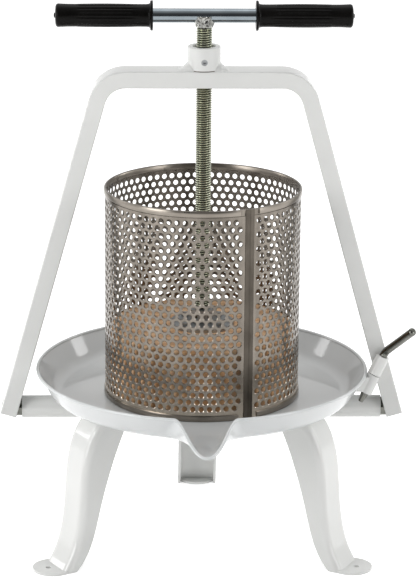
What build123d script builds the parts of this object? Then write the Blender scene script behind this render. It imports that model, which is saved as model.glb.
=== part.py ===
from build123d import *
import math
import os

os.makedirs("parts", exist_ok=True)

# A table-top screw press for fruit. Sizes are in millimetres and angles in degrees.
# The origin is on the ground under the screw, +Z is up and the spout points to -Y.

# Clearances
thread_gap = 0.6
journal_gap = 0.35
slip_gap = 0.25
seat_gap = 0.2
press_gap = 0.02
keeper_gap = 0.3

# Basket, a rolled perforated sheet with folded hems and a lock seam
basket_d = 190.0
basket_h = 206.0
basket_sheet = 0.9
basket_hem_w = 5.5
basket_hem_break = 20.0
hole_d = 5.0
hole_pitch = 7.95
hole_row_pitch = 7.0
hole_margin = 12.0
seam_azimuth = -63.8
seam_w = 9.5
seam_proud = 0.5

# Tray
stand_height = 151.5
tray_channel_w = 65.8
tray_sheet = 1.5
tray_depth = 26.2
tray_corner_r = 16.0
tray_wall_lean = 32.0
tray_bead_r = 1.6

# Spout, a trough that narrows from the tray's floor to its tip
spout_reach = 35.2
spout_root_inset = 4.0
spout_root_half_w = 31.5
spout_tip_half_w = 5.4
spout_flare = 10.0
spout_corner_r = 4.5
spout_fall = 1.5
spout_tip_lip = 0.8
spout_shoulder_inset = 7.8

# Legs, pressed channels with a tongue foot. Their side outline steps out from the top of the web.
leg_inset = 16.0
leg_width = 39.5
leg_sheet = 2.8
leg_web_t = 3.6
leg_edge_r = 7.0
leg_knee_out = 20.0
leg_knee_drop = 29.0
leg_shin_out = 27.0
leg_shin_drop = 71.0
leg_ankle_out = 31.0
leg_ankle_z = 41.0
leg_toe_out = 48.0
flange_top_in = 28.0
flange_knee_in = 3.0
flange_knee_drop = 56.0
flange_ankle_out = 8.0
flange_ankle_z = 59.0
flange_heel_out = 20.0
flange_heel_z = 20.0
flange_toe_out = 34.0
foot_t = 2.5
foot_l = 21.0
foot_hole_out = 6.5
foot_hole_d = 5.5

# Pivot tube under the tray and the axle inside it
tube_d = 22.0
tube_drop = 3.5
tube_wall = 1.75
tube_end_gap = 0.6
axle_end_inset = 8.0
axle_chamfer = 1.0
saddle_x = 92.0
saddle_t = 5.0
saddle_w = 34.0

# Yoke, one bent flat bar
yoke_headroom = 98.6
yoke_bar_t = 16.0
yoke_bar_w = 30.0
yoke_corner_x = 95.5
yoke_bend_r = 28.0
yoke_edge_r = 1.2
yoke_foot_drop = 4.5
arm_rim_gap = 6.7

# Nut boss on the yoke
boss_wall = 5.2
boss_h = 22.4
boss_chamfer = 0.8
nut_wall = 2.2
nut_recess = 3.0
nut_turns = 3
nut_turns_below = 3
nut_relief = 0.2
grub_d = 6.0
grub_hex_w = 3.0
grub_hex_depth = 2.0
grub_sunk = 0.8
grub_up = 9.0

# Screw, handle and grips
screw_d = 15.4
thread_depth = 1.2
thread_lead = 2.25
thread_points = 12
turns_per_length = 10
thread_plain_top = 3.5
thread_plain_foot = 1.5
screw_hole_gap = 0.6
journal_step = 0.55
journal_groove = 1.6
handle_gap = 22.0
handle_bar_d = 13.5
handle_chamfer = 1.0
grip_inner_x = 48.5
grip_l = 92.0
grip_wall = 4.0
grip_belly = 0.7
grip_flange_rise = 3.5
grip_flange_t = 2.8
grip_end_wall = 3.0
grip_end_round = 2.5
grip_nub_d = 6.0
grip_nub_h = 1.2
grip_flutes = 14
grip_flute_d = 2.6
grip_flute_depth = 0.7
grip_flute_start = 18.0
grip_flute_l = 52.0

# Press plate, the loose wooden block under it and the steel thrust plate
wood_side_gap = 4.2
wood_t = 34.0
wood_chamfer = 2.0
thrust_d = 62.0
thrust_t = 4.0
thrust_edge_r = 1.0
hub_wall = 7.0
hub_h = 13.0
keeper_d = 3.0
keeper_sunk = 0.5
lag_circle_d = 44.0
lag_count = 4
lag_d = 5.0
lag_l = 22.0
lag_point_l = 5.0
lag_head_w = 8.0
lag_head_t = 3.2
lag_head_chamfer = 0.5

# Lock pin with its two barrels, in a plane in front of the right arm
lock_lean = 24.5
lock_drop = 2.4
lock_rim_gap = 0.8
lock_pin_d = 8.0
lock_tip_l = 10.7
lock_tip_d = 4.6
lock_neck = 5.0
lock_lever_l = 54.0
lock_lever_azimuth = -58.0
lock_lever_rise = 37.0
lock_bend_r = 9.0
lock_end_r = 3.0
lock_hole_d = 2.4
lock_hole_drop = 1.8
sleeve_wall = 2.25
sleeve_l = 19.5
sleeve_part = 0.8
sleeve_flat = 0.4
bracket_t = 4.5
bracket_forward = 3.5
bracket_h = 14.5
bracket_drop = 1.0

# Places that follow from the sizes above
floor_z = stand_height + tray_sheet
rim_z = floor_z + tray_depth
bead_z = rim_z - tray_bead_r
basket_r = basket_d / 2
sheet_outer_r = basket_r - basket_sheet
sheet_inner_r = sheet_outer_r - basket_sheet
basket_z = floor_z + seat_gap
basket_top_z = basket_z + basket_h

wall_lean = math.radians(tray_wall_lean)
tray_rim_r = basket_r + tray_channel_w
rim_inner_r = tray_rim_r - tray_bead_r - tray_sheet / 2
corner_rise = tray_corner_r * (1 - math.sin(wall_lean))
wall_run = (tray_depth - corner_rise) * math.tan(wall_lean)
tray_flat_r = rim_inner_r - tray_corner_r * math.cos(wall_lean) - wall_run
spout_root_y = tray_flat_r - spout_root_inset
spout_tip_y = tray_rim_r + spout_reach
spout_shoulder_y = tray_rim_r - spout_shoulder_inset

leg_top_r = tray_flat_r - leg_inset
foot_tip_r = leg_top_r + leg_toe_out + foot_l
foot_hole_circle_r = leg_top_r + leg_toe_out + foot_hole_out

yoke_top_z = basket_top_z + yoke_headroom + yoke_bar_t
yoke_mid_z = yoke_top_z - yoke_bar_t / 2
arm_rim_x = tray_rim_r + arm_rim_gap + yoke_bar_t / 2
arm_slope = (arm_rim_x - yoke_corner_x) / (yoke_mid_z - rim_z)
arm_half_w = yoke_bar_t / 2 * math.hypot(1, arm_slope)

pivot_z = stand_height - tube_drop - tube_d / 2
axle_d = tube_d - 2 * tube_wall - 2 * slip_gap
arm_pivot_x = yoke_corner_x + arm_slope * (yoke_mid_z - pivot_z)
tube_top_z = pivot_z + tube_d / 2
tube_half_l = yoke_corner_x + arm_slope * (yoke_mid_z - tube_top_z) - arm_half_w - tube_end_gap
axle_half_l = arm_pivot_x + arm_half_w - axle_end_inset
yoke_foot_z = pivot_z - yoke_foot_drop
yoke_foot_x = yoke_corner_x + arm_slope * (yoke_mid_z - yoke_foot_z)

wood_r = sheet_inner_r - wood_side_gap
block_top_z = floor_z + wood_t
plate_z = block_top_z + seat_gap
plate_top_z = plate_z + wood_t
thrust_top_z = plate_top_z + thrust_t
hub_top_z = thrust_top_z + hub_h
keeper_z = thrust_top_z + hub_h / 2

screw_r = screw_d / 2
thread_root_r = screw_r - thread_depth
nut_d = screw_d + 2 * (thread_gap + nut_wall)
nut_seat_r = nut_d / 2 + press_gap
boss_d = nut_d + 2 * boss_wall
boss_top_z = yoke_top_z + boss_h
handle_z = boss_top_z + handle_gap + handle_bar_d / 2
thread_start_z = hub_top_z + thread_plain_foot
thread_room = handle_z - handle_bar_d / 2 - thread_plain_top - thread_start_z
thread_turns = int(thread_room / thread_lead)

journal_r = thread_root_r - journal_step
groove_r = journal_r - journal_groove
groove_h = keeper_d + 2 * keeper_gap
hub_bore_r = journal_r + journal_gap
hub_r = hub_bore_r + hub_wall
keeper_x = groove_r + keeper_gap + keeper_d / 2
keeper_half_l = math.sqrt(hub_r**2 - (keeper_x + keeper_d / 2) ** 2) - keeper_sunk

handle_half_l = grip_inner_x + grip_l - grip_end_wall
grip_r = handle_bar_d / 2 + grip_wall
grip_axis = Axis((0, 0, handle_z), (1, 0, 0))

arm_front_y = -yoke_bar_w / 2
sleeve_r = lock_pin_d / 2 + slip_gap + sleeve_wall
lock_y = arm_front_y - sleeve_r + sleeve_flat
lock_z = rim_z - lock_drop
lock_tilt = math.radians(lock_lean)
rim_edge_x = math.sqrt(tray_rim_r**2 - lock_y**2)
lock_bead_x = rim_edge_x + (sleeve_r + lock_rim_gap) / math.cos(lock_tilt)
lock_x = lock_bead_x + (lock_z - bead_z) * math.tan(lock_tilt)
lock_axis = Vector(math.sin(lock_tilt), 0, math.cos(lock_tilt))
lock_plane = Plane(origin=(lock_x, lock_y, lock_z), x_dir=(0, 1, 0), z_dir=lock_axis)


def keep(piece, name):
    """Label a finished piece and write it under its node name."""
    piece.part.label = name
    export_step(piece.part, f"parts/{name}.step")


def bowl(skin):
    """Half section of the filled bowl, grown outwards by skin."""
    low = floor_z - skin
    with BuildSketch(Plane.XZ) as half:
        with BuildLine():
            Line((0, low), (tray_flat_r, low))
            corner_centre = (tray_flat_r, floor_z + tray_corner_r)
            CenterArc(corner_centre, tray_corner_r + skin, -90, 90 - tray_wall_lean)
            corner_r = tray_flat_r + (tray_corner_r + skin) * math.cos(wall_lean)
            corner_z = floor_z + tray_corner_r - (tray_corner_r + skin) * math.sin(wall_lean)
            top_r = corner_r + (rim_z - corner_z) * math.tan(wall_lean)
            Polyline((corner_r, corner_z), (top_r, rim_z), (0, rim_z), (0, low))
        make_face()
    return half.sketch


def trough(skin):
    """End sections of the filled spout, grown outwards by skin."""
    sections = []
    ends = [(spout_root_y, spout_root_half_w, floor_z), (spout_tip_y, spout_tip_half_w, floor_z - spout_fall)]
    top = rim_z + tray_bead_r
    for away, half_w, low in ends:
        wide = half_w * (1 + spout_flare / spout_root_half_w)
        with BuildSketch(Plane.XZ.offset(away)) as section:
            with BuildLine():
                Polyline(
                    (-half_w - skin, low - skin),
                    (half_w + skin, low - skin),
                    (wide + skin, top),
                    (-wide - skin, top),
                    close=True,
                )
            make_face()
            fillet(section.vertices().group_by(Axis.Y)[0], spout_corner_r)
        sections.append(section.sketch)
    return sections


# Tray: a spun bowl with a rolled rim, opened at the front into the spout
with BuildPart() as spout:
    loft(trough(tray_sheet))
    loft(trough(0), mode=Mode.SUBTRACT)
    revolve(bowl(0), axis=Axis.Z, mode=Mode.SUBTRACT)
    with BuildSketch(Plane.YZ):
        with BuildLine():
            Polyline(
                (-spout_shoulder_y, rim_z),
                (-spout_tip_y, floor_z - spout_fall + spout_tip_lip),
                (-spout_tip_y, rim_z + tray_depth),
                (0, rim_z + tray_depth),
                (0, rim_z),
                close=True,
            )
        make_face()
    extrude(amount=tray_rim_r, both=True, mode=Mode.SUBTRACT)

with BuildPart() as tray:
    revolve(bowl(tray_sheet), axis=Axis.Z)
    revolve(bowl(0), axis=Axis.Z, mode=Mode.SUBTRACT)
    with BuildSketch(Plane.XZ):
        with Locations((tray_rim_r - tray_bead_r, bead_z)):
            Circle(tray_bead_r)
    revolve(axis=Axis.Z)
    loft(trough(0), mode=Mode.SUBTRACT)
    add(spout.part)
keep(tray, "tray")

# Legs: a curved channel that opens inwards, welded under the tray's flat floor
web = [
    (leg_top_r, stand_height),
    (leg_top_r + leg_knee_out, stand_height - leg_knee_drop),
    (leg_top_r + leg_shin_out, stand_height - leg_shin_drop),
    (leg_top_r + leg_ankle_out, leg_ankle_z),
    (leg_top_r + leg_toe_out, 0),
]
flange = [
    (leg_top_r + flange_toe_out, 0),
    (leg_top_r + flange_heel_out, flange_heel_z),
    (leg_top_r + flange_ankle_out, flange_ankle_z),
    (leg_top_r - flange_knee_in, stand_height - flange_knee_drop),
    (leg_top_r - flange_top_in, stand_height),
]
hollow = [(r - leg_web_t, z) for r, z in web]
tongue_r = leg_width / 2
tongue_start_r = hollow[-1][0]
with BuildPart() as leg_blank:
    with BuildSketch(Plane.XZ.offset(-leg_width / 2)):
        with BuildLine():
            Spline(*web)
            Line(web[-1], flange[0])
            Spline(*flange)
            Line(flange[-1], web[0])
        make_face()
    extrude(amount=leg_width)
    web_face = leg_blank.faces().filter_by(GeomType.PLANE, reverse=True).sort_by(Axis.X)[-1]
    fillet(web_face.edges().filter_by(GeomType.BSPLINE), leg_edge_r)
    with BuildSketch(Plane.XZ):
        with BuildLine():
            Spline(*hollow)
            Polyline(hollow[-1], (0, 0), (0, stand_height), hollow[0])
        make_face()
    extrude(amount=leg_width / 2 - leg_sheet, both=True, mode=Mode.SUBTRACT)
    with BuildSketch():
        with Locations((foot_tip_r - tongue_r, 0)):
            Circle(tongue_r)
        with Locations(((tongue_start_r + foot_tip_r - tongue_r) / 2, 0)):
            Rectangle(foot_tip_r - tongue_r - tongue_start_r, leg_width)
    extrude(amount=foot_t)
    with Locations((foot_hole_circle_r, 0, foot_t)):
        Hole(foot_hole_d / 2, depth=foot_t)

for leg_name, azimuth in (("leg_rear", 90), ("leg_front_left", 210), ("leg_front_right", 330)):
    with BuildPart() as leg:
        add(leg_blank.part, rotation=(0, 0, azimuth))
    keep(leg, leg_name)

# Pivot: the tube hangs under the tray in two saddles and the axle turns in it
with BuildPart() as cross_tube:
    with BuildSketch(Plane.YZ):
        with Locations((0, pivot_z)):
            Circle(tube_d / 2)
            Circle(axle_d / 2 + slip_gap, mode=Mode.SUBTRACT)
    extrude(amount=tube_half_l, both=True)
keep(cross_tube, "cross_tube")

with BuildPart() as pivot_axle:
    with BuildSketch(Plane.YZ):
        with Locations((0, pivot_z)):
            Circle(axle_d / 2)
    extrude(amount=axle_half_l, both=True)
    chamfer(pivot_axle.faces().filter_by(Axis.X).edges(), axle_chamfer)
keep(pivot_axle, "pivot_axle")

for saddle_name, side in (("tube_saddle_left", -1), ("tube_saddle_right", 1)):
    with BuildPart() as saddle:
        with BuildSketch(Plane.YZ.offset(side * saddle_x)):
            with Locations((0, (pivot_z + stand_height) / 2)):
                Rectangle(saddle_w, stand_height - pivot_z)
            with Locations((0, pivot_z)):
                Circle(tube_d / 2 + press_gap, mode=Mode.SUBTRACT)
        extrude(amount=saddle_t / 2, both=True)
    keep(saddle, saddle_name)

# Yoke: its forked feet straddle the ends of the axle
with BuildPart() as yoke:
    with BuildLine(Plane.XZ) as yoke_path:
        FilletPolyline(
            (-yoke_foot_x, yoke_foot_z),
            (-yoke_corner_x, yoke_mid_z),
            (yoke_corner_x, yoke_mid_z),
            (yoke_foot_x, yoke_foot_z),
            radius=yoke_bend_r,
        )
    yoke_start = Plane(origin=yoke_path.line @ 0, x_dir=(0, 1, 0), z_dir=yoke_path.line % 0)
    with BuildSketch(yoke_start):
        RectangleRounded(yoke_bar_w, yoke_bar_t, yoke_edge_r)
    sweep()
    with Locations((0, 0, yoke_top_z)):
        Hole(screw_r + screw_hole_gap, depth=yoke_bar_t)
    with BuildSketch(Plane.YZ):
        with Locations((0, pivot_z)):
            Circle(axle_d / 2 + press_gap)
    extrude(amount=2 * axle_half_l, both=True, mode=Mode.SUBTRACT)
keep(yoke, "yoke")


def thread_section(root_r, crest_r, z):
    """Cam-shaped cross-section of a single-start thread: root on one side, crest on the other."""
    right = []
    for k in range(thread_points + 1):
        angle = math.pi * k / thread_points
        radius = root_r + (crest_r - root_r) * k / thread_points
        right.append((radius * math.cos(angle), radius * math.sin(angle)))
    with BuildSketch(Plane.XY.offset(z), mode=Mode.PRIVATE) as section:
        with BuildLine():
            Spline(*right)
            Spline(*[(x, -y) for x, y in right])
        make_face()
    return section.sketch.faces()[0]


def threaded(root_r, crest_r, start_z, turns):
    """Twist the section upwards into right-hand thread, in short lengths that stack."""
    lengths = []
    for first in range(0, turns, turns_per_length):
        count = min(turns_per_length, turns - first)
        z = start_z + first * thread_lead
        face = thread_section(root_r, crest_r, z)
        rise = (0, 0, count * thread_lead)
        lengths.append(Solid.extrude_linear_with_rotation(face, (0, 0, z), rise, 360 * count))
    return lengths


# Boss on the yoke with its threaded nut, held by a grub screw from the front
grub_z = yoke_top_z + grub_up
grub_l = boss_d / 2 - grub_sunk - nut_seat_r
with BuildPart() as nut_boss:
    with BuildSketch(Plane.XY.offset(yoke_top_z)):
        Circle(boss_d / 2)
        Circle(nut_seat_r, mode=Mode.SUBTRACT)
    extrude(amount=boss_h)
    chamfer(nut_boss.edges().group_by(Axis.Z)[-1], boss_chamfer)
    with BuildSketch(Plane.XZ):
        with Locations((0, grub_z)):
            Circle(grub_d / 2 + press_gap)
    extrude(amount=boss_d, mode=Mode.SUBTRACT)
keep(nut_boss, "nut_boss")

turns_below_nut = int((yoke_top_z - thread_start_z) / thread_lead)
with BuildPart() as screw_nut:
    with BuildSketch(Plane.XY.offset(yoke_top_z)):
        Circle(nut_d / 2)
    extrude(amount=boss_h - nut_recess)
    nut_thread_z = thread_start_z + (turns_below_nut + nut_turns_below) * thread_lead
    nut_thread_end_z = nut_thread_z + nut_turns * thread_lead
    with BuildSketch(Plane.XY.offset(yoke_top_z)):
        Circle(screw_r + thread_gap + nut_relief)
    extrude(amount=nut_thread_z - yoke_top_z, mode=Mode.SUBTRACT)
    with BuildSketch(Plane.XY.offset(nut_thread_end_z)):
        Circle(screw_r + thread_gap + nut_relief)
    extrude(amount=boss_top_z - nut_thread_end_z, mode=Mode.SUBTRACT)
    add(
        threaded(thread_root_r + thread_gap, screw_r + thread_gap, nut_thread_z, nut_turns),
        mode=Mode.SUBTRACT,
    )
keep(screw_nut, "screw_nut")

with BuildPart() as grub_screw:
    with BuildSketch(Plane.XZ.offset(nut_seat_r)):
        with Locations((0, grub_z)):
            Circle(grub_d / 2)
    extrude(amount=grub_l)
    with BuildSketch(Plane.XZ.offset(nut_seat_r + grub_l - grub_hex_depth)):
        with Locations((0, grub_z)):
            RegularPolygon(grub_hex_w / 2, 6, major_radius=False)
    extrude(amount=grub_hex_depth, mode=Mode.SUBTRACT)
keep(grub_screw, "grub_screw")

# Screw: journal below, thread in the middle and a plain end saddled onto the handle bar
with BuildPart() as screw:
    add(threaded(thread_root_r, screw_r, thread_start_z, thread_turns))
    journal_z = thrust_top_z + journal_gap
    with BuildSketch(Plane.XY.offset(journal_z)):
        Circle(journal_r)
    extrude(amount=thread_start_z - journal_z)
    with BuildSketch(Plane.XY.offset(keeper_z - groove_h / 2)):
        Circle(journal_r)
        Circle(groove_r, mode=Mode.SUBTRACT)
    extrude(amount=groove_h, mode=Mode.SUBTRACT)
    thread_end_z = thread_start_z + thread_turns * thread_lead
    with BuildSketch(Plane.XY.offset(thread_end_z)):
        Circle(thread_root_r)
    extrude(amount=handle_z - thread_end_z)
    with BuildSketch(Plane.YZ):
        with Locations((0, handle_z)):
            Circle(handle_bar_d / 2 + press_gap)
    extrude(amount=handle_bar_d, both=True, mode=Mode.SUBTRACT)
keep(screw, "screw")

with BuildPart() as handle_bar:
    with BuildSketch(Plane.YZ):
        with Locations((0, handle_z)):
            Circle(handle_bar_d / 2)
    extrude(amount=handle_half_l, both=True)
    chamfer(handle_bar.faces().filter_by(Axis.X).edges(), handle_chamfer)
keep(handle_bar, "handle_bar")

# Grips: turned sleeves with an inner flange, a slight belly and long flutes
grip_outer_x = grip_inner_x + grip_l
flute_plane = Plane(origin=(grip_inner_x + grip_flute_start, 0, handle_z), x_dir=(0, 1, 0), z_dir=(1, 0, 0))
flute_circle_r = grip_r + grip_belly + grip_flute_d / 2 - grip_flute_depth
with BuildPart() as grip_right:
    with BuildSketch(Plane.XZ):
        with BuildLine():
            body_start = (grip_inner_x + grip_flange_t, handle_z + grip_r)
            body_mid = (grip_inner_x + grip_l / 2, handle_z + grip_r + grip_belly)
            body_end = (grip_outer_x, handle_z + grip_r)
            Polyline(
                body_end,
                (grip_outer_x, handle_z),
                (grip_inner_x, handle_z),
                (grip_inner_x, handle_z + grip_r + grip_flange_rise),
                (grip_inner_x + grip_flange_t, handle_z + grip_r + grip_flange_rise),
                body_start,
            )
            ThreePointArc(body_start, body_mid, body_end)
        make_face()
    revolve(axis=grip_axis)
    fillet(grip_right.faces().sort_by(Axis.X)[-1].edges(), grip_end_round)
    with Locations(flute_plane):
        with PolarLocations(flute_circle_r, grip_flutes):
            Cylinder(
                grip_flute_d / 2,
                grip_flute_l,
                align=(Align.CENTER, Align.CENTER, Align.MIN),
                mode=Mode.SUBTRACT,
            )
    with BuildSketch(Plane.YZ.offset(grip_outer_x)):
        with Locations((0, handle_z)):
            Circle(grip_nub_d / 2)
    extrude(amount=grip_nub_h)
    with BuildSketch(Plane.YZ.offset(grip_inner_x)):
        with Locations((0, handle_z)):
            Circle(handle_bar_d / 2 + press_gap)
    extrude(amount=handle_half_l - grip_inner_x, mode=Mode.SUBTRACT)
keep(grip_right, "grip_right")

with BuildPart() as grip_left:
    mirror(grip_right.part, about=Plane.YZ)
keep(grip_left, "grip_left")

# Wooden discs
with BuildPart() as press_block:
    with BuildSketch(Plane.XY.offset(floor_z)):
        Circle(wood_r)
    extrude(amount=wood_t)
    chamfer(press_block.edges().filter_by(GeomType.CIRCLE), wood_chamfer)
keep(press_block, "press_block")

with BuildPart() as press_plate:
    with BuildSketch(Plane.XY.offset(plate_z)):
        Circle(wood_r)
    extrude(amount=wood_t)
    chamfer(press_plate.edges().filter_by(GeomType.CIRCLE), wood_chamfer)
    with Locations((0, 0, plate_top_z)):
        with PolarLocations(lag_circle_d / 2, lag_count, start_angle=45):
            Hole(lag_d / 2 + press_gap, depth=lag_l - thrust_t + seat_gap)
keep(press_plate, "press_plate")

# Steel thrust plate with the hub for the screw's journal, its screws and its keeper pins
with BuildPart() as thrust_plate:
    with BuildSketch(Plane.XY.offset(plate_top_z)):
        Circle(thrust_d / 2)
    extrude(amount=thrust_t)
    fillet(thrust_plate.edges().group_by(Axis.Z)[-1], thrust_edge_r)
    with BuildSketch(Plane.XY.offset(thrust_top_z)):
        Circle(hub_r)
    extrude(amount=hub_h)
    with Locations((0, 0, hub_top_z)):
        Hole(hub_bore_r, depth=hub_h)
    with Locations((0, 0, thrust_top_z)):
        with PolarLocations(lag_circle_d / 2, lag_count, start_angle=45):
            Hole(lag_d / 2 + press_gap, depth=thrust_t)
    with BuildSketch(Plane.XZ):
        with Locations((-keeper_x, keeper_z), (keeper_x, keeper_z)):
            Circle(keeper_d / 2 + press_gap)
    extrude(amount=hub_r, both=True, mode=Mode.SUBTRACT)
keep(thrust_plate, "thrust_plate")

with BuildPart() as keeper_pins:
    with BuildSketch(Plane.XZ):
        with Locations((-keeper_x, keeper_z), (keeper_x, keeper_z)):
            Circle(keeper_d / 2)
    extrude(amount=keeper_half_l, both=True)
keep(keeper_pins, "keeper_pins")

lag_shank_l = lag_l - lag_point_l
with BuildPart() as plate_screws:
    with BuildSketch(Plane.XY.offset(thrust_top_z)):
        with PolarLocations(lag_circle_d / 2, lag_count, start_angle=45):
            RegularPolygon(lag_head_w / 2, 6, major_radius=False)
    extrude(amount=lag_head_t)
    chamfer(plate_screws.faces().group_by(Axis.Z)[-1].edges(), lag_head_chamfer)
    with BuildSketch(Plane.XY.offset(thrust_top_z)):
        with PolarLocations(lag_circle_d / 2, lag_count, start_angle=45):
            Circle(lag_d / 2)
    extrude(amount=-lag_shank_l)
    with Locations((0, 0, thrust_top_z - lag_l)):
        with PolarLocations(lag_circle_d / 2, lag_count, start_angle=45):
            Cone(0, lag_d / 2, lag_point_l, align=(Align.CENTER, Align.CENTER, Align.MIN))
keep(plate_screws, "plate_screws")

# Basket: a tube of narrow flat faces, one to each hole, punched row by row.
# Holes sit on the faces in one row and on the edges in the next, and leave the seam clear.
holes_round = int(math.pi * 2 * sheet_outer_r / hole_pitch)
hole_step = 360 / holes_round
hole_rows = int((basket_h - 2 * hole_margin) / hole_row_pitch) + 1
first_row_z = basket_z + (basket_h - (hole_rows - 1) * hole_row_pitch) / 2
basket_turn = seam_azimuth - hole_step / 4
hem_turn = 360 - math.degrees(basket_hem_break / basket_r)
hem_start = seam_azimuth + (360 - hem_turn) / 2

with BuildPart() as hem:
    with BuildSketch(Plane.XZ):
        with Locations((basket_r - basket_sheet, basket_hem_w / 2)):
            Rectangle(2 * basket_sheet, basket_hem_w)
    revolve(axis=Axis.Z, revolution_arc=hem_turn)

with BuildPart() as seam_rib:
    with BuildSketch():
        with Locations((sheet_outer_r + seam_proud - basket_sheet / 2, 0)):
            Rectangle(basket_sheet, seam_w)
    extrude(amount=basket_h)

with BuildPart() as basket:
    with BuildSketch(Plane.XY.offset(basket_z)):
        RegularPolygon(sheet_outer_r, holes_round, rotation=basket_turn)
        RegularPolygon(sheet_inner_r, holes_round, rotation=basket_turn, mode=Mode.SUBTRACT)
    extrude(amount=basket_h)
    with BuildSketch(Plane.YZ.offset(sheet_inner_r - basket_sheet), mode=Mode.PRIVATE) as punch:
        Circle(hole_d / 2)
    cutter = extrude(punch.sketch, amount=3 * basket_sheet, mode=Mode.PRIVATE)
    cutters = []
    for row in range(hole_rows):
        row_z = first_row_z + row * hole_row_pitch
        row_shift = 0.5 + 0.5 * (row % 2)
        for hole in range(1, holes_round - 1):
            turn = basket_turn + hole_step * (hole + row_shift)
            cutters.append(Rot(0, 0, turn) * Pos(0, 0, row_z) * cutter)
    add(cutters, mode=Mode.SUBTRACT, clean=False)
    folds = [
        Pos(0, 0, basket_z) * Rot(0, 0, hem_start) * hem.part,
        Pos(0, 0, basket_top_z - basket_hem_w) * Rot(0, 0, hem_start) * hem.part,
        Pos(0, 0, basket_z) * Rot(0, 0, seam_azimuth) * seam_rib.part,
    ]
    add(folds, clean=False)
keep(basket, "basket")

# Lock: one barrel on the arm, one on the tray, and the pin through both.
# The barrels are cut flat where the arm passes behind them.
with BuildPart() as arm_space:
    with Locations((lock_x, arm_front_y, lock_z)):
        Box(4 * sleeve_l, yoke_bar_w, 4 * sleeve_l, align=(Align.CENTER, Align.MIN, Align.CENTER))

with BuildPart() as lock_sleeve:
    with BuildSketch(lock_plane.offset(sleeve_part / 2)):
        Circle(sleeve_r)
        Circle(lock_pin_d / 2 + slip_gap, mode=Mode.SUBTRACT)
    extrude(amount=sleeve_l)
    add(arm_space.part, mode=Mode.SUBTRACT)
keep(lock_sleeve, "lock_sleeve")

with BuildPart() as lock_socket:
    with BuildSketch(lock_plane.offset(-sleeve_part / 2)):
        Circle(sleeve_r)
        Circle(lock_pin_d / 2 + slip_gap, mode=Mode.SUBTRACT)
    extrude(amount=-sleeve_l)
    add(Pos(0, -slip_gap, 0) * arm_space.part, mode=Mode.SUBTRACT)
keep(lock_socket, "lock_socket")

bracket_top_z = bead_z - tray_bead_r - bracket_drop
bracket_low_z = bracket_top_z - bracket_h
with BuildPart() as lock_bracket:
    with BuildSketch(Plane.XZ.offset(bracket_forward - lock_y)):
        with BuildLine():
            Polyline(
                (tray_flat_r, bracket_low_z),
                (lock_x + (bracket_low_z - lock_z) * math.tan(lock_tilt), bracket_low_z),
                (lock_x + (bracket_top_z - lock_z) * math.tan(lock_tilt), bracket_top_z),
                (tray_flat_r, bracket_top_z),
                close=True,
            )
        make_face()
    extrude(amount=bracket_t / 2, both=True)
    revolve(bowl(tray_sheet), axis=Axis.Z, mode=Mode.SUBTRACT)
    with BuildSketch(lock_plane.offset(-2 * sleeve_l)):
        Circle(sleeve_r)
    extrude(amount=3 * sleeve_l, mode=Mode.SUBTRACT)
keep(lock_bracket, "lock_bracket")

lever_turn = math.radians(lock_lever_azimuth)
lever_rise = math.radians(lock_lever_rise)
lever_flat = math.cos(lever_rise)
lever_way = Vector(lever_flat * math.cos(lever_turn), lever_flat * math.sin(lever_turn), math.sin(lever_rise))
pin_shoulder = lock_plane.origin - lock_axis * (sleeve_part / 2 + sleeve_l)
pin_elbow = lock_plane.origin + lock_axis * (sleeve_part / 2 + sleeve_l + lock_neck)
pin_end = pin_elbow + lever_way * lock_lever_l
pin_hole = pin_shoulder - lock_axis * lock_hole_drop
with BuildPart() as lock_pin:
    with BuildLine():
        FilletPolyline(pin_shoulder, pin_elbow, pin_end, radius=lock_bend_r)
    with BuildSketch(Plane(origin=pin_shoulder, z_dir=lock_axis)):
        Circle(lock_pin_d / 2)
    sweep()
    fillet(lock_pin.edges().filter_by(GeomType.CIRCLE).sort_by(Axis(pin_elbow, lever_way))[-1], lock_end_r)
    with Locations(Plane(origin=pin_shoulder, z_dir=-lock_axis)):
        Cone(lock_pin_d / 2, lock_tip_d / 2, lock_tip_l, align=(Align.CENTER, Align.CENTER, Align.MIN))
    with BuildSketch(Plane.XZ.offset(-lock_y)):
        with Locations((pin_hole.X, pin_hole.Z)):
            Circle(lock_hole_d / 2)
    extrude(amount=lock_pin_d, both=True, mode=Mode.SUBTRACT)
keep(lock_pin, "lock_pin")
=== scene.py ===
import math

import bpy
import numpy as np
from mathutils import Matrix, Vector, noise


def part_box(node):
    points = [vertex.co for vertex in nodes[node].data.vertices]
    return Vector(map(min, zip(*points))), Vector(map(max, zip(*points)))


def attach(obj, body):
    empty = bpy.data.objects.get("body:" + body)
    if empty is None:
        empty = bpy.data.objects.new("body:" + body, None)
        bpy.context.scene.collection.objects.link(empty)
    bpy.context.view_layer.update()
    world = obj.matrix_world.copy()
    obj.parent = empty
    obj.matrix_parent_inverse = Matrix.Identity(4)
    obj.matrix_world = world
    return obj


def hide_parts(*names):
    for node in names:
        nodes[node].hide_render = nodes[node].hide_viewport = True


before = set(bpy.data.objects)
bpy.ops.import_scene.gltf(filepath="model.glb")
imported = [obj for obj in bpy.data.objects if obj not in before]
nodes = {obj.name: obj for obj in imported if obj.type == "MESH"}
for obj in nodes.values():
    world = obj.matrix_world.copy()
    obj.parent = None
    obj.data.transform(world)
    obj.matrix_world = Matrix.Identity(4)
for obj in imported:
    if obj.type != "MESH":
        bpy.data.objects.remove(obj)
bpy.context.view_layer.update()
MM = 0.001

# Camera, found from the round tray, the basket and the three legs in the photograph
IMAGE_H = 581
SENSOR = 36.0
FOCAL_PX = 2757.5
CAMERA_PLACE = (-0.07446, -2.55965, 1.01517)
CAMERA_YAW = 0.0320
CAMERA_PITCH = 0.2885
CAMERA_ROLL = 0.0088

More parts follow.
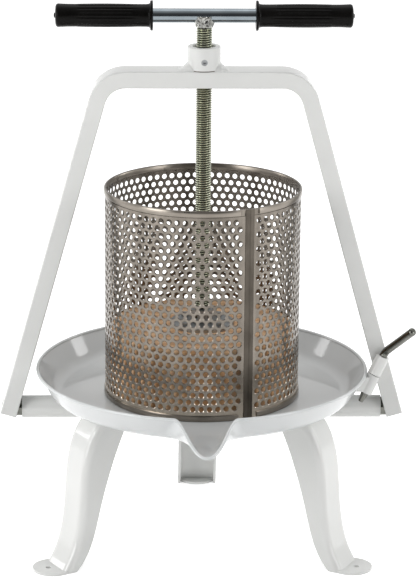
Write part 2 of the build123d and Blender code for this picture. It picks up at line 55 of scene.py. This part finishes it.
# Sizes that the CAD nodes have, in metres
SHEET = 1.5 * MM
TRAY_CORNER_R = 16 * MM
TRAY_LEAN = math.radians(32)
BEAD_R = 1.6 * MM
HOLE_R = 2.5 * MM
HOLES_ROUND = 74
HOLE_ROWS = 27
ROW_PITCH = 7 * MM
BASKET_SHEET = 0.9 * MM
HEM_W = 5.5 * MM
HEM_BREAK = 20 * MM
SEAM_AZIMUTH = math.radians(-63.8)
SEAM_W = 9.5 * MM
THREAD_DEPTH = 1.2 * MM

# Heights above the basket's foot between which its steel is lightened by a painted reflection of the white
# tray
SHEEN_START = 48 * MM
SHEEN_FULL = 3 * MM


def add_mesh(name, verts, faces, material, body, stands_for=(), sharp=35):
    """Make a shaded mesh piece that rides on a body."""
    mesh = bpy.data.meshes.new(name)
    mesh.from_pydata([tuple(v) for v in verts], [], [tuple(f) for f in faces])
    mesh.validate()
    mesh.polygons.foreach_set("use_smooth", [True] * len(mesh.polygons))
    mesh.set_sharp_from_angle(angle=math.radians(sharp))
    mesh.materials.append(material)
    piece = bpy.data.objects.new(name, mesh)
    bpy.context.scene.collection.objects.link(piece)
    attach(piece, body)
    if stands_for:
        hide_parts(*stands_for)
    return piece


def grid_faces(rows, columns, start=0, wrap=True):
    """Quads of a grid whose rows follow each other, closed round its columns if wrap is set."""
    faces = []
    for i in range(rows - 1):
        for j in range(columns if wrap else columns - 1):
            k = (j + 1) % columns
            a, b = start + i * columns, start + (i + 1) * columns
            faces.append((a + j, a + k, b + k, b + j))
    return faces


def lathe(profile, turns=96, start=0.0, sweep=2 * math.pi):
    """Turn (radius, height) pairs about Z and return vertices and faces."""
    closed = math.isclose(sweep, 2 * math.pi)
    count = turns if closed else turns + 1
    verts = []
    for r, z in profile:
        for j in range(count):
            a = start + sweep * j / turns
            verts.append((r * math.cos(a), r * math.sin(a), z))
    faces = grid_faces(len(profile), count, wrap=closed)
    if not closed:
        faces.append(tuple(i * count for i in range(len(profile))))
        faces.append(tuple(i * count + count - 1 for i in reversed(range(len(profile)))))
    return verts, faces


# Materials


def material(name):
    """New node material, returned with its tree and its main shader."""
    made = bpy.data.materials.new(name)
    made.use_nodes = True
    tree = made.node_tree
    return made, tree, tree.nodes["Principled BSDF"]


def node(tree, kind, values=None, **settings):
    """New shader node with its settings and input values."""
    made = tree.nodes.new(kind)
    for key, value in settings.items():
        setattr(made, key, value)
    for key, value in (values or {}).items():
        made.inputs[key].default_value = value
    return made


def stretched(tree, scale):
    """Object coordinates, scaled along each axis."""
    place = node(tree, "ShaderNodeTexCoord")
    mapping = node(tree, "ShaderNodeMapping", {"Scale": scale})
    tree.links.new(place.outputs["Object"], mapping.inputs["Vector"])
    return mapping.outputs["Vector"]


def noise_of(tree, vector, scale, detail=3.0, rough=0.5):
    """Noise value over the given coordinates."""
    made = node(tree, "ShaderNodeTexNoise", {"Scale": scale, "Detail": detail, "Roughness": rough})
    tree.links.new(vector, made.inputs["Vector"])
    return made.outputs["Fac"]


def ramp(tree, factor, stops):
    """Colour ramp over a factor; stops are (place, colour)."""
    made = node(tree, "ShaderNodeValToRGB")
    line = made.color_ramp.elements
    while len(line) < len(stops):
        line.new(0.5)
    for element, (place, colour) in zip(line, stops):
        element.position = place
        element.color = (*colour, 1)
    tree.links.new(factor, made.inputs["Fac"])
    return made.outputs["Color"]


def bump(tree, shader, height, strength, distance):
    """Bump the shader by a height value."""
    made = node(tree, "ShaderNodeBump", {"Strength": strength, "Distance": distance})
    tree.links.new(height, made.inputs["Height"])
    tree.links.new(made.outputs["Normal"], shader.inputs["Normal"])


def grey_range(tree, factor, low, high):
    """Map a factor to the range from low to high."""
    made = node(tree, "ShaderNodeMapRange", {"To Min": low, "To Max": high})
    tree.links.new(factor, made.inputs["Value"])
    return made.outputs["Result"]


def enamel(name, shade, pale):
    """White stoved coat with a faint orange peel and a few pin-point chips."""
    made, tree, shader = material(name)
    place = stretched(tree, (1, 1, 1))
    tone = ramp(tree, noise_of(tree, place, 14, 2), [(0.3, shade), (0.7, pale)])
    specks = node(tree, "ShaderNodeTexVoronoi", {"Scale": 55.0, "Randomness": 1.0})
    tree.links.new(place, specks.inputs["Vector"])
    chip = node(tree, "ShaderNodeMapRange", {"From Min": 0.045, "From Max": 0.03})
    tree.links.new(specks.outputs["Distance"], chip.inputs["Value"])
    rare = node(tree, "ShaderNodeMapRange", {"From Min": 0.66, "From Max": 0.7})
    tree.links.new(noise_of(tree, place, 21, 1), rare.inputs["Value"])
    both = node(tree, "ShaderNodeMath", operation="MULTIPLY")
    tree.links.new(chip.outputs["Result"], both.inputs[0])
    tree.links.new(rare.outputs["Result"], both.inputs[1])
    mix = node(tree, "ShaderNodeMix", data_type="RGBA")
    mix.inputs["B"].default_value = (0.16, 0.15, 0.14, 1)
    tree.links.new(both.outputs["Value"], mix.inputs["Factor"])
    tree.links.new(tone, mix.inputs["A"])
    tree.links.new(mix.outputs["Result"], shader.inputs["Base Color"])
    rough = grey_range(tree, noise_of(tree, place, 40, 2), 0.05, 0.1)
    tree.links.new(rough, shader.inputs["Roughness"])
    bump(tree, shader, noise_of(tree, place, 420, 2), 0.04, 0.0003)
    shader.inputs["Specular IOR Level"].default_value = 0.5
    return made


def metal(name, dark, light, rough, streak, bump_strength=0.05, foot_sheen=None):
    """Plated or bare metal with streaks along one axis.

    The lighter colour that it turns to at the basket's foot is a painted reflection of the white tray.
    """
    made, tree, shader = material(name)
    lines = noise_of(tree, stretched(tree, streak), 1.0, 4, 0.6)
    cloud = noise_of(tree, stretched(tree, (1, 1, 1)), 45, 3)
    mixed = node(tree, "ShaderNodeMix")
    mixed.inputs["Factor"].default_value = 0.45
    tree.links.new(lines, mixed.inputs["A"])
    tree.links.new(cloud, mixed.inputs["B"])
    colour = ramp(tree, mixed.outputs["Result"], [(0.3, dark), (0.7, light)])
    # Painted reflection: the steel turns lighter towards the basket's foot, as if it mirrored the white
    # tray
    if foot_sheen:
        foot_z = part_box("basket")[0].z
        fade = {"From Min": foot_z + SHEEN_START, "From Max": foot_z + SHEEN_FULL}
        split = node(tree, "ShaderNodeSeparateXYZ")
        tree.links.new(stretched(tree, (1, 1, 1)), split.inputs["Vector"])
        foot = node(tree, "ShaderNodeMapRange", fade)
        tree.links.new(split.outputs["Z"], foot.inputs["Value"])
        sheened = node(tree, "ShaderNodeMix", data_type="RGBA")
        sheened.inputs["B"].default_value = (*foot_sheen, 1)
        tree.links.new(foot.outputs["Result"], sheened.inputs["Factor"])
        tree.links.new(colour, sheened.inputs["A"])
        colour = sheened.outputs["Result"]
    tree.links.new(colour, shader.inputs["Base Color"])
    tree.links.new(grey_range(tree, lines, rough * 0.8, rough * 1.25), shader.inputs["Roughness"])
    bump(tree, shader, lines, bump_strength, 0.0002)
    shader.inputs["Metallic"].default_value = 1.0
    return made


def thread_metal(name, root_shade, crest_highlight):
    """Plated screw with painted shade in the thread's root and a painted highlight on its crest."""
    made, tree, shader = material(name)
    crest_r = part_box("screw")[1].x
    radius = node(tree, "ShaderNodeVectorMath", operation="LENGTH")
    tree.links.new(stretched(tree, (1, 1, 0)), radius.inputs["Vector"])
    depth = node(tree, "ShaderNodeMapRange", {"From Min": crest_r - THREAD_DEPTH, "From Max": crest_r})
    tree.links.new(radius.outputs["Value"], depth.inputs["Value"])
    # Painted shade in the thread's root and painted highlight on its crest, set by distance from the
    # screw's axis
    colour = ramp(tree, depth.outputs["Result"], [(0.3, root_shade), (0.7, crest_highlight)])
    tree.links.new(colour, shader.inputs["Base Color"])
    cloud = noise_of(tree, stretched(tree, (1, 1, 1)), 90, 3)
    tree.links.new(grey_range(tree, cloud, 0.15, 0.25), shader.inputs["Roughness"])
    shader.inputs["Metallic"].default_value = 1.0
    return made


def wood():
    """Plain pale hardwood, planed, with long grain along X."""
    made, tree, shader = material("pale_wood")
    place = stretched(tree, (9, 70, 70))
    wave = node(
        tree,
        "ShaderNodeTexWave",
        {"Scale": 0.35, "Distortion": 5.0, "Detail": 3.0, "Detail Scale": 1.4},
        bands_direction="Y",
    )
    tree.links.new(place, wave.inputs["Vector"])
    fibre = noise_of(tree, stretched(tree, (30, 900, 900)), 1.0, 4, 0.65)
    both = node(tree, "ShaderNodeMix")
    both.inputs["Factor"].default_value = 0.4
    tree.links.new(wave.outputs["Fac"], both.inputs["A"])
    tree.links.new(fibre, both.inputs["B"])
    colour = ramp(
        tree,
        both.outputs["Result"],
        [(0.15, (0.56, 0.3, 0.14)), (0.5, (0.72, 0.43, 0.22)), (0.85, (0.83, 0.55, 0.33))],
    )
    tree.links.new(colour, shader.inputs["Base Color"])
    tree.links.new(grey_range(tree, fibre, 0.5, 0.7), shader.inputs["Roughness"])
    bump(tree, shader, fibre, 0.12, 0.0004)
    return made


def grip_rubber():
    """Black moulded grip with a soft gloss."""
    made, tree, shader = material("black_moulded")
    place = stretched(tree, (1, 1, 1))
    colour = ramp(
        tree,
        noise_of(tree, place, 60, 3),
        [(0.3, (0.0025, 0.0023, 0.0021)), (0.7, (0.005, 0.0046, 0.0042))],
    )
    shader.inputs["Specular IOR Level"].default_value = 0.08
    tree.links.new(colour, shader.inputs["Base Color"])
    tree.links.new(grey_range(tree, noise_of(tree, place, 150, 3), 0.22, 0.34), shader.inputs["Roughness"])
    bump(tree, shader, noise_of(tree, place, 900, 3), 0.08, 0.0003)
    return made


white_coat = enamel("white_coat", (0.655, 0.66, 0.645), (0.69, 0.693, 0.677))
# Painted shade: the tray has the same white coat as the stand, copied darker and bluer for the shade in and
# around the bowl
shaded_tray_coat = enamel("shaded_tray_coat", (0.595, 0.61, 0.612), (0.63, 0.643, 0.643))
bar_zinc = metal("bright_zinc", (0.17, 0.2, 0.225), (0.3, 0.335, 0.355), 0.1, (3, 160, 160))
# The weld's near-black and pale blotches are painted dark reflections and glints of the shiny weld
weld_zinc = metal("weld_zinc", (0.005, 0.005, 0.005), (0.6, 0.6, 0.57), 0.07, (90, 90, 90), 0.12)
pin_zinc = metal("grey_zinc", (0.08, 0.083, 0.074), (0.2, 0.2, 0.18), 0.15, (70, 70, 12), 0.1)
screw_zinc = thread_metal("olive_zinc", (0.06, 0.063, 0.038), (0.58, 0.595, 0.465))
# The rolled steel's lighter colour at the basket's foot is a painted reflection of the tray
sheet_steel = metal(
    "rolled_steel", (0.12, 0.106, 0.09), (0.245, 0.219, 0.189), 0.22, (130, 130, 5), foot_sheen=(0.54, 0.475, 0.4)
)
# Painted shade: a darker steel for the seam's fold and for the dark line under the boss
shade_dark_steel = metal("shade_dark_steel", (0.05, 0.043, 0.035), (0.125, 0.11, 0.092), 0.36, (200, 200, 8), 0.12)
hem_steel = metal("hem_steel", (0.2, 0.178, 0.152), (0.3, 0.27, 0.235), 0.28, (14, 14, 3), 0.02)
plate_steel = metal("plate_steel", (0.30, 0.31, 0.32), (0.42, 0.43, 0.43), 0.4, (40, 40, 40), 0.1)
pale_wood = wood()
black_moulded = grip_rubber()

node_materials = {
    white_coat: "leg_front_left leg_front_right leg_rear cross_tube tube_saddle_left "
    "tube_saddle_right yoke nut_boss screw_nut lock_bracket lock_sleeve lock_socket",
    shaded_tray_coat: "tray",
    bar_zinc: "handle_bar",
    pin_zinc: "lock_pin pivot_axle keeper_pins",
    screw_zinc: "screw",
    plate_steel: "thrust_plate plate_screws grub_screw",
    sheet_steel: "basket",
    pale_wood: "press_block press_plate",
    black_moulded: "grip_left grip_right",
}
for finish, names in node_materials.items():
    for name in names.split():
        slots = nodes[name].data.materials
        slots.clear()
        slots.append(finish)


def basket_wall():
    """Punched cylinder: cells in staggered rows, each with a hole whose edges are slightly eased."""
    low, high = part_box("basket")
    outer = high.x - BASKET_SHEET
    inner = outer - BASKET_SHEET
    ease = 0.28 * MM
    lip = 0.5 * MM
    lip_depth = 0.4 * MM
    points = 24
    columns = 2 * HOLES_ROUND
    half_row = ROW_PITCH / 2
    margin = (high.z - low.z - HOLE_ROWS * ROW_PITCH) / 2
    step = 2 * math.pi / columns
    turn = SEAM_AZIMUTH - step / 2
    verts, faces = [], []

    def place(angle, z, r):
        verts.append((r * math.cos(angle), r * math.sin(angle), z))
        return len(verts) - 1

    lines = 2 * HOLE_ROWS + 1
    skins = []
    for r in (outer, inner):
        skin = {}
        for j in range(lines):
            for i in range(columns):
                skin[i, j] = place(turn + i * step, low.z + margin + j * half_row, r)
        skins.append(skin)

    around = [(1, 0), (1, 1), (0, 1), (-1, 1), (-1, 0), (-1, -1), (0, -1), (1, -1)]
    per_side = points // len(around)
    rings = [
        (HOLE_R + lip, outer),
        (HOLE_R, outer - lip_depth),
        (HOLE_R, inner + ease),
        (HOLE_R + ease, inner),
    ]
    for row in range(HOLE_ROWS):
        j = 2 * row + 1
        z = low.z + margin + j * half_row
        for hole in range(HOLES_ROUND):
            i = 2 * hole + 1 + row % 2
            edges = [[skin[(i + a) % columns, j + b] for a, b in around] for skin in skins]
            if hole in (0, HOLES_ROUND - 1):
                faces.append(tuple(edges[0]))
                faces.append(tuple(reversed(edges[1])))
                continue
            made = []
            for radius, r in rings:
                ring = []
                for k in range(points):
                    t = 2 * math.pi * k / points
                    angle = turn + i * step + radius * math.cos(t) / outer
                    ring.append(place(angle, z + radius * math.sin(t), r))
                made.append(ring)
            for a, b in zip(made, made[1:]):
                for k in range(points):
                    n = (k + 1) % points
                    faces.append((a[k], a[n], b[n], b[k]))
            for side in range(len(around)):
                ahead = (side + 1) % len(around)
                arc = [(side * per_side + k) % points for k in range(per_side + 1)]
                faces.append((edges[0][side], edges[0][ahead], *[made[0][k] for k in reversed(arc)]))
                faces.append((edges[1][ahead], edges[1][side], *[made[-1][k] for k in arc]))

    groove = 0.55 * MM
    groove_w = 1.1 * MM

    def border(j, z, flip):
        edge = z - flip * HEM_W
        path = [(edge - flip * groove_w, outer), (edge - flip * 0.8 * groove_w, outer - groove)]
        path += [(edge, outer - groove), (z, outer), (z, inner)]
        last = [skins[0][i, j] for i in range(columns)]
        for height, r in path:
            ring = [place(turn + i * step, height, r) for i in range(columns)]
            for i in range(columns):
                n = (i + 1) % columns
                faces.append((last[i], last[n], ring[n], ring[i])[::flip])
            last = ring
        for i in range(columns):
            n = (i + 1) % columns
            faces.append((last[i], last[n], skins[1][n, j], skins[1][i, j])[::flip])

    border(lines - 1, high.z, 1)
    border(0, low.z, -1)
    return add_mesh("basket_wall", verts, faces, sheet_steel, "basket_body", ["basket"])


def basket_hems():
    """Folded hems at the top and bottom edges, broken at the seam."""
    low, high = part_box("basket")
    reach = high.x
    sheet = reach - BASKET_SHEET
    inside = sheet - BASKET_SHEET - 0.05 * MM
    tucked = sheet - 0.3 * MM
    soft = 0.35 * MM
    start = SEAM_AZIMUTH + HEM_BREAK / 2 / reach
    sweep = 2 * math.pi - HEM_BREAK / reach
    for name, edge, way in (("basket_hem_top", high.z, -1), ("basket_hem_foot", low.z, 1)):
        profile = [
            (inside, edge + way * HEM_W),
            (inside, edge + way * 2 * soft),
            (inside + soft, edge + way * 0.6 * soft),
            (inside + 2.5 * soft, edge),
            (reach - 2.5 * soft, edge),
            (reach - 0.8 * soft, edge + way * 0.5 * soft),
            (reach, edge + way * 2 * soft),
            (reach, edge + way * (HEM_W - soft)),
            (reach - 0.5 * soft, edge + way * HEM_W),
            (tucked, edge + way * HEM_W),
        ]
        profile = profile if way > 0 else profile[::-1]
        verts, faces = lathe(profile + profile[:1], 180, start, sweep)
        piece = add_mesh(name, verts, faces, hem_steel, "basket_body", sharp=50)
        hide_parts("basket")


def basket_seam():
    """Lock seam from hem to hem: a plain overlap on the left and a rolled fold on the right."""
    low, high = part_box("basket")
    sheet = high.x - BASKET_SHEET
    half = SEAM_W / MM / 2
    buried = -0.25
    overlap = [(-half, buried), (-half + 0.1, 0.3), (-half + 0.9, 0.42), (-0.9, 0.45), (-0.6, buried)]
    fold = [(-0.9, buried), (-0.8, 0.2), (-0.1, 0.25), (0.3, 0.55), (1.4, 0.72), (2.6, 0.66)]
    fold += [(half - 0.6, 0.4), (half - 0.1, 0.3), (half, buried)]
    short = 0.1 * MM
    heights = np.linspace(low.z + short, high.z - short, 40)
    for name, section in (("seam_overlap", overlap), ("seam_fold", fold)):
        verts = []
        for z in heights:
            for across, rise in section:
                angle = SEAM_AZIMUTH + across * MM / sheet
                r = sheet + rise * MM
                verts.append((r * math.cos(angle), r * math.sin(angle), z))
        n = len(section)
        faces = grid_faces(len(heights), n)
        faces.append(tuple(reversed(range(n))))
        faces.append(tuple(len(verts) - n + k for k in range(n)))
        # The seam's darker steel is painted shade and dark reflection on the fold
        piece = add_mesh(name, verts, faces, shade_dark_steel, "basket_body", sharp=40)
        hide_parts("basket")


basket_wall()
basket_hems()
basket_seam()


def tray_shell():
    """Pressed bowl whose wall runs out smoothly into the pouring lip, with a rolled rim."""
    low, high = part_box("tray")
    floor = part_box("leg_rear")[1].z + SHEET
    bead_r = high.x - BEAD_R
    rim_z = high.z - BEAD_R
    inset = 0.05 * MM
    reach = -low.y - BEAD_R - bead_r - inset
    tip_z = floor + 0.6 * MM
    lip_half = math.radians(10.9)
    root_spread, tip_spread = 1.9, 1.0
    lip_steps, bowl_steps = 141, 170
    lip_edge = 2 * lip_half

    rise = rim_z - floor
    corner_h = TRAY_CORNER_R * (1 - math.sin(TRAY_LEAN))
    flat = bead_r - TRAY_CORNER_R * math.cos(TRAY_LEAN) - (rise - corner_h) * math.tan(TRAY_LEAN)

    floor_radii = (0.02, 0.05, 0.08, 0.095, 0.11, 0.12, 0.127)
    first = len(floor_radii) - 1
    plain = [(r, floor) for r in floor_radii] + [(flat, floor)]
    corner_turn = math.pi / 2 - TRAY_LEAN
    for turn in np.linspace(0, corner_turn, 11)[1:]:
        a = turn - math.pi / 2
        plain.append((flat + TRAY_CORNER_R * math.cos(a), floor + TRAY_CORNER_R * (1 + math.sin(a))))
    wall_r, wall_z = plain[-1]
    for t in np.linspace(0, 1, 9)[1:]:
        plain.append((wall_r + t * (bead_r - wall_r), wall_z + t * (rim_z - wall_z)))
    run = len(plain) - 1 - first

    front = -math.pi / 2
    fine = np.linspace(-lip_edge, lip_edge, lip_steps)
    coarse = np.linspace(lip_edge, 2 * math.pi - lip_edge, bowl_steps)[1:-1]
    angles = np.concatenate([fine, coarse])

    def bulge(offset, spread):
        t = min(abs(offset) / (lip_half * spread), 1)
        return 0.5 + 0.5 * math.cos(math.pi * t)

    rows = []
    for k, (r, z) in enumerate(plain):
        row = []
        s = max(0, k - first) / run
        for a in angles:
            offset = (a + math.pi) % (2 * math.pi) - math.pi
            f = bulge(offset, root_spread + (tip_spread - root_spread) * s)
            trough_r = plain[first][0] + s * (bead_r + reach - plain[first][0])
            trough_z = floor + (tip_z - floor) * s
            rr = r + f * (trough_r - r) if s > 0 else r
            zz = z + f * (trough_z - z) if s > 0 else z
            row.append((rr * math.cos(front + a), rr * math.sin(front + a), zz))
        rows.append(row)
    grid = np.array(rows)
    count = len(angles)

    along = np.gradient(grid, axis=0)
    ahead = np.roll(grid, -1, axis=1) - np.roll(grid, 1, axis=1)
    normal = np.cross(ahead, along)
    normal /= np.linalg.norm(normal, axis=2, keepdims=True)
    normal *= -np.sign(normal[:1, :1, 2:3])
    under = grid + normal * SHEET

    verts = [tuple(p) for p in grid.reshape(-1, 3)]
    faces = [f[::-1] for f in grid_faces(len(plain), count)]
    centre = len(verts)
    verts.append((0, 0, floor))
    faces += [(centre, j, (j + 1) % count) for j in range(count)]
    base = len(verts)
    verts += [tuple(p) for p in under.reshape(-1, 3)]
    faces += grid_faces(len(plain), count, base)
    centre = len(verts)
    verts.append((0, 0, floor - SHEET))
    faces += [(centre, base + (j + 1) % count, base + j) for j in range(count)]
    top = (len(plain) - 1) * count
    for j in range(count):
        n = (j + 1) % count
        faces.append((top + j, top + n, base + top + n, base + top + j))

    lip = (grid[-1] + under[-1]) / 2
    ring = len(verts)
    around = 14
    for j in range(count):
        tangent = Vector(lip[(j + 1) % count] - lip[j - 1]).normalized()
        side = tangent.cross(Vector((0, 0, 1))).normalized()
        up = side.cross(tangent)
        for k in range(around):
            a = 2 * math.pi * k / around
            verts.append(tuple(Vector(lip[j]) + BEAD_R * (math.cos(a) * side + math.sin(a) * up)))
    faces += grid_faces(count, around, ring)
    last = ring + (count - 1) * around
    for k in range(around):
        n = (k + 1) % around
        faces.append((last + k, last + n, ring + n, ring + k))
    return add_mesh("tray_shell", verts, faces, shaded_tray_coat, "stand", ["tray"], sharp=60)


tray_shell()


def grips():
    """Moulded grips: thin inner flange, fluted belly, flared end with a domed cap and a nub."""
    flutes = 16
    around = 160
    flute_start, flute_end, flute_fade = 15.5, 73.5, 6
    flute_depth = 0.55
    drawn_l = 93.2
    for name, side in (("grip_left", -1), ("grip_right", 1)):
        low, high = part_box(name)
        axis_z = (low.z + high.z) / 2
        start = min(abs(low.x), abs(high.x))
        end = max(abs(low.x), abs(high.x))
        flange = (high.z - low.z) / 2
        length = end - start
        profile = [
            (0.0, 7.0),
            (0.0, flange / MM - 0.5),
            (0.3, flange / MM),
            (2.0, flange / MM),
            (2.5, flange / MM - 0.6),
            (2.8, 11.8),
            (3.6, 11.1),
            (6.0, 10.75),
            (12.0, 10.7),
            (18.0, 10.75),
        ]
        profile += [(18.0 + k * 2.0, 10.75 + 0.35 * math.sin(math.pi * k / 27)) for k in range(1, 27)]
        profile += [(72.0, 10.7), (80.0, 10.75), (86.0, 11.0), (88.6, 11.15), (89.6, 11.05)]
        profile += [(90.6, 10.5), (91.3, 9.4), (91.7, 7.5), (91.9, 4.0)]
        profile += [(92.0, 2.6), (92.7, 2.3), (drawn_l, 1.4)]
        scale = length / MM / drawn_l
        verts = []
        for x, r in profile:
            fade = max(0.0, min((x - flute_start) / flute_fade, (flute_end - x) / flute_fade, 1.0))
            fade = fade * fade * (3 - 2 * fade)
            for k in range(around):
                a = 2 * math.pi * k / around
                groove = max(0.0, math.cos(flutes * a)) ** 1.5
                rr = (r - flute_depth * fade * groove) * MM
                verts.append((side * (start + x * scale * MM), rr * math.cos(a), axis_z + rr * math.sin(a)))
        faces = grid_faces(len(profile), around)
        last = len(verts) - around
        faces.append(tuple(last + k for k in range(around)))
        faces.append(tuple(reversed(range(around))))
        if side < 0:
            faces = [f[::-1] for f in faces]
        moulded = name + "_moulded"
        add_mesh(moulded, verts, faces, black_moulded, "screw_and_handle", [name], sharp=40)


grips()


def lumpy(point, amount, scale, seed):
    """Offset for a molten, uneven surface."""
    return amount * noise.noise(Vector(point) * scale + Vector((seed, seed * 0.7, seed * 1.3)))


def collar_weld():
    """Uneven weld collar between the handle bar and the screw."""
    bar_low, bar_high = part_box("handle_bar")
    bar_r = (bar_high.z - bar_low.z) / 2
    axis_z = (bar_high.z + bar_low.z) / 2
    around, levels = 96, 20
    top_r, taper, least_r, foot_r = 10.6, 3.1, 6.7, 6.3
    lump = 1.7
    foot_z = axis_z - bar_r - 4.6 * MM
    sunk = 1.2 * MM
    verts = []
    for i in range(levels):
        t = i / (levels - 1)
        for k in range(around):
            a = 2 * math.pi * k / around
            swell = top_r - taper * t**0.6
            r = swell + lumpy((math.cos(a) * 3, math.sin(a) * 3, t * 2.4), lump, 1.1, 3.1)
            r = (max(r, least_r) if i < levels - 1 else foot_r) * MM
            y = r * math.sin(a)
            seat = axis_z - math.sqrt(bar_r**2 - y**2) + sunk if abs(y) < bar_r else axis_z
            verts.append((r * math.cos(a), y, seat * (1 - t) + foot_z * t))
    faces = [f[::-1] for f in grid_faces(levels, around)]
    faces.append(tuple(range(around)))
    faces.append(tuple(len(verts) - 1 - k for k in range(around)))
    add_mesh("collar_weld", verts, faces, weld_zinc, "screw_and_handle", sharp=180)


def boss_welds():
    """Painted fillet welds on both sides of the nut boss."""
    low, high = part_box("nut_boss")
    boss_r = high.x
    half_turn = math.radians(52)
    out, rise, lump = 8.5 * MM, 6.5 * MM, 0.9 * MM
    across, levels = 28, 10
    for name, middle, seed in (("boss_weld_left", math.pi, 1.7), ("boss_weld_right", 0.0, 5.3)):
        verts = []
        for i in range(levels):
            t = i / (levels - 1)
            for k in range(across):
                u = 2 * k / (across - 1) - 1
                a = middle + u * half_turn
                size = 1.05 - abs(u) ** 3
                wobble = lumpy((u * 4, t * 2, seed), lump * math.sin(math.pi * t) * size, 1.0, seed)
                toe = boss_r + out * size * t + wobble
                z = low.z + rise * size * (1 - t) ** 1.6 + wobble
                verts.append((toe * math.cos(a), toe * math.sin(a), max(z, low.z - 0.1 * MM)))
        base = len(verts)
        for i in range(levels):
            for k in range(across):
                x, y, z = verts[i * across + k]
                r = math.hypot(x, y)
                inner = boss_r - 0.4 * MM if i == 0 else r
                verts.append((x * inner / r, y * inner / r, low.z - 0.2 * MM))
        faces = [f[::-1] for f in grid_faces(levels, across, wrap=False)]
        faces += grid_faces(levels, across, base, wrap=False)
        edge = list(range(across))
        edge += [i * across + across - 1 for i in range(1, levels)]
        edge += [(levels - 1) * across + k for k in reversed(range(across - 1))]
        edge += [i * across for i in reversed(range(1, levels - 1))]
        for a, b in zip(edge, edge[1:] + edge[:1]):
            faces.append((a, b, base + b, base + a))
        add_mesh(name, verts, faces, white_coat, "stand", sharp=50)


def boss_gap_shadow():
    """Painted shadow: a dark ring under the front of the boss, where it isn't welded."""
    low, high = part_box("nut_boss")
    edge = high.x + 0.06 * MM
    inside = edge - 0.5 * MM
    top = low.z + 0.7 * MM
    profile = [(inside, low.z), (edge, low.z), (edge, top), (inside, top)]
    verts, faces = lathe(profile + profile[:1], 40, math.radians(-128), math.radians(76))
    add_mesh("boss_gap_shadow", verts, faces, shade_dark_steel, "stand")


collar_weld()
boss_welds()
boss_gap_shadow()


def stage():
    """Pale floor, soft light and a studio that is darker behind the camera."""
    mesh = bpy.data.meshes.new("floor")
    half = 12.0
    paper_grey = 0.9
    paper_glow = 0.5
    corners = [(-half, -half, 0), (half, -half, 0), (half, half, 0), (-half, half, 0)]
    mesh.from_pydata(corners, [], [(0, 1, 2, 3)])
    floor = bpy.data.objects.new("floor", mesh)
    bpy.context.scene.collection.objects.link(floor)
    made, tree, shader = material("floor_paper")
    shader.inputs["Base Color"].default_value = (paper_grey, paper_grey, paper_grey, 1)
    shader.inputs["Roughness"].default_value = 0.9
    glow = node(tree, "ShaderNodeEmission")
    rays = node(tree, "ShaderNodeLightPath")
    mirrored = node(tree, "ShaderNodeMath", operation="MAXIMUM")
    tree.links.new(rays.outputs["Is Glossy Ray"], mirrored.inputs[0])
    tree.links.new(rays.outputs["Is Transmission Ray"], mirrored.inputs[1])
    seen = node(tree, "ShaderNodeMath", operation="MAXIMUM")
    tree.links.new(rays.outputs["Is Camera Ray"], seen.inputs[0])
    tree.links.new(mirrored.outputs["Value"], seen.inputs[1])
    lift = node(tree, "ShaderNodeMath", operation="MULTIPLY")
    lift.inputs[1].default_value = paper_glow
    tree.links.new(seen.outputs["Value"], lift.inputs[0])
    tree.links.new(lift.outputs["Value"], glow.inputs["Strength"])
    total = node(tree, "ShaderNodeAddShader")
    tree.links.new(shader.outputs["BSDF"], total.inputs[0])
    tree.links.new(glow.outputs["Emission"], total.inputs[1])
    tree.links.new(total.outputs["Shader"], tree.nodes["Material Output"].inputs["Surface"])
    mesh.materials.append(made)

    world = bpy.data.worlds.new("studio")
    world.use_nodes = True
    bpy.context.scene.world = world
    tree = world.node_tree
    back = tree.nodes["Background"]
    back.inputs["Color"].default_value = (1, 1, 1, 1)
    place = node(tree, "ShaderNodeTexCoord")
    split = node(tree, "ShaderNodeSeparateXYZ")
    tree.links.new(place.outputs["Generated"], split.inputs["Vector"])
    levels = {"From Min": -0.95, "From Max": 0.1, "To Min": 0.1, "To Max": 0.9}
    dim = node(tree, "ShaderNodeMapRange", levels)
    dim.interpolation_type = "SMOOTHSTEP"
    tree.links.new(split.outputs["Y"], dim.inputs["Value"])
    tree.links.new(dim.outputs["Result"], back.inputs["Strength"])

    def softbox(name, place, target, size, power):
        lamp = bpy.data.lights.new(name, "AREA")
        lamp.shape = "RECTANGLE"
        lamp.size, lamp.size_y = size
        lamp.energy = power
        made = bpy.data.objects.new(name, lamp)
        made.location = place
        way = Vector(target) - Vector(place)
        made.rotation_euler = way.to_track_quat("-Z", "Y").to_euler()
        bpy.context.scene.collection.objects.link(made)

    softbox("key", (-2.3, -1.5, 1.0), (0, 0, 0.25), (1.1, 1.7), 39)
    softbox("fill", (2.3, -1.5, 1.0), (0, 0, 0.25), (1.1, 1.7), 26)
    softbox("top", (0, 0.9, 2.6), (0, 0, 0.2), (2.6, 1.4), 11)
    softbox("strip_left", (-2.0, 0.7, 0.85), (0, 0, 0.17), (0.4, 0.8), 5)
    softbox("strip_right", (2.0, 0.7, 0.85), (0, 0, 0.17), (0.4, 0.8), 5)


def camera():
    """Camera at the photograph's place, angle and lens."""
    data = bpy.data.cameras.new("camera")
    data.sensor_width = SENSOR
    data.lens = FOCAL_PX / IMAGE_H * SENSOR
    data.clip_end = 100
    made = bpy.data.objects.new("camera", data)
    forward = Vector(
        (
            math.sin(CAMERA_YAW) * math.cos(CAMERA_PITCH),
            math.cos(CAMERA_YAW) * math.cos(CAMERA_PITCH),
            -math.sin(CAMERA_PITCH),
        )
    )
    right = Vector((math.cos(CAMERA_YAW), -math.sin(CAMERA_YAW), 0))
    up = right.cross(forward)
    rolled_right = right * math.cos(CAMERA_ROLL) + up * math.sin(CAMERA_ROLL)
    rolled_up = up * math.cos(CAMERA_ROLL) - right * math.sin(CAMERA_ROLL)
    turn = Matrix((rolled_right, rolled_up, -forward)).transposed()
    made.matrix_world = Matrix.Translation(CAMERA_PLACE) @ turn.to_4x4()
    bpy.context.scene.collection.objects.link(made)
    bpy.context.scene.camera = made


stage()
camera()
bpy.context.scene.view_settings.view_transform = "Standard"
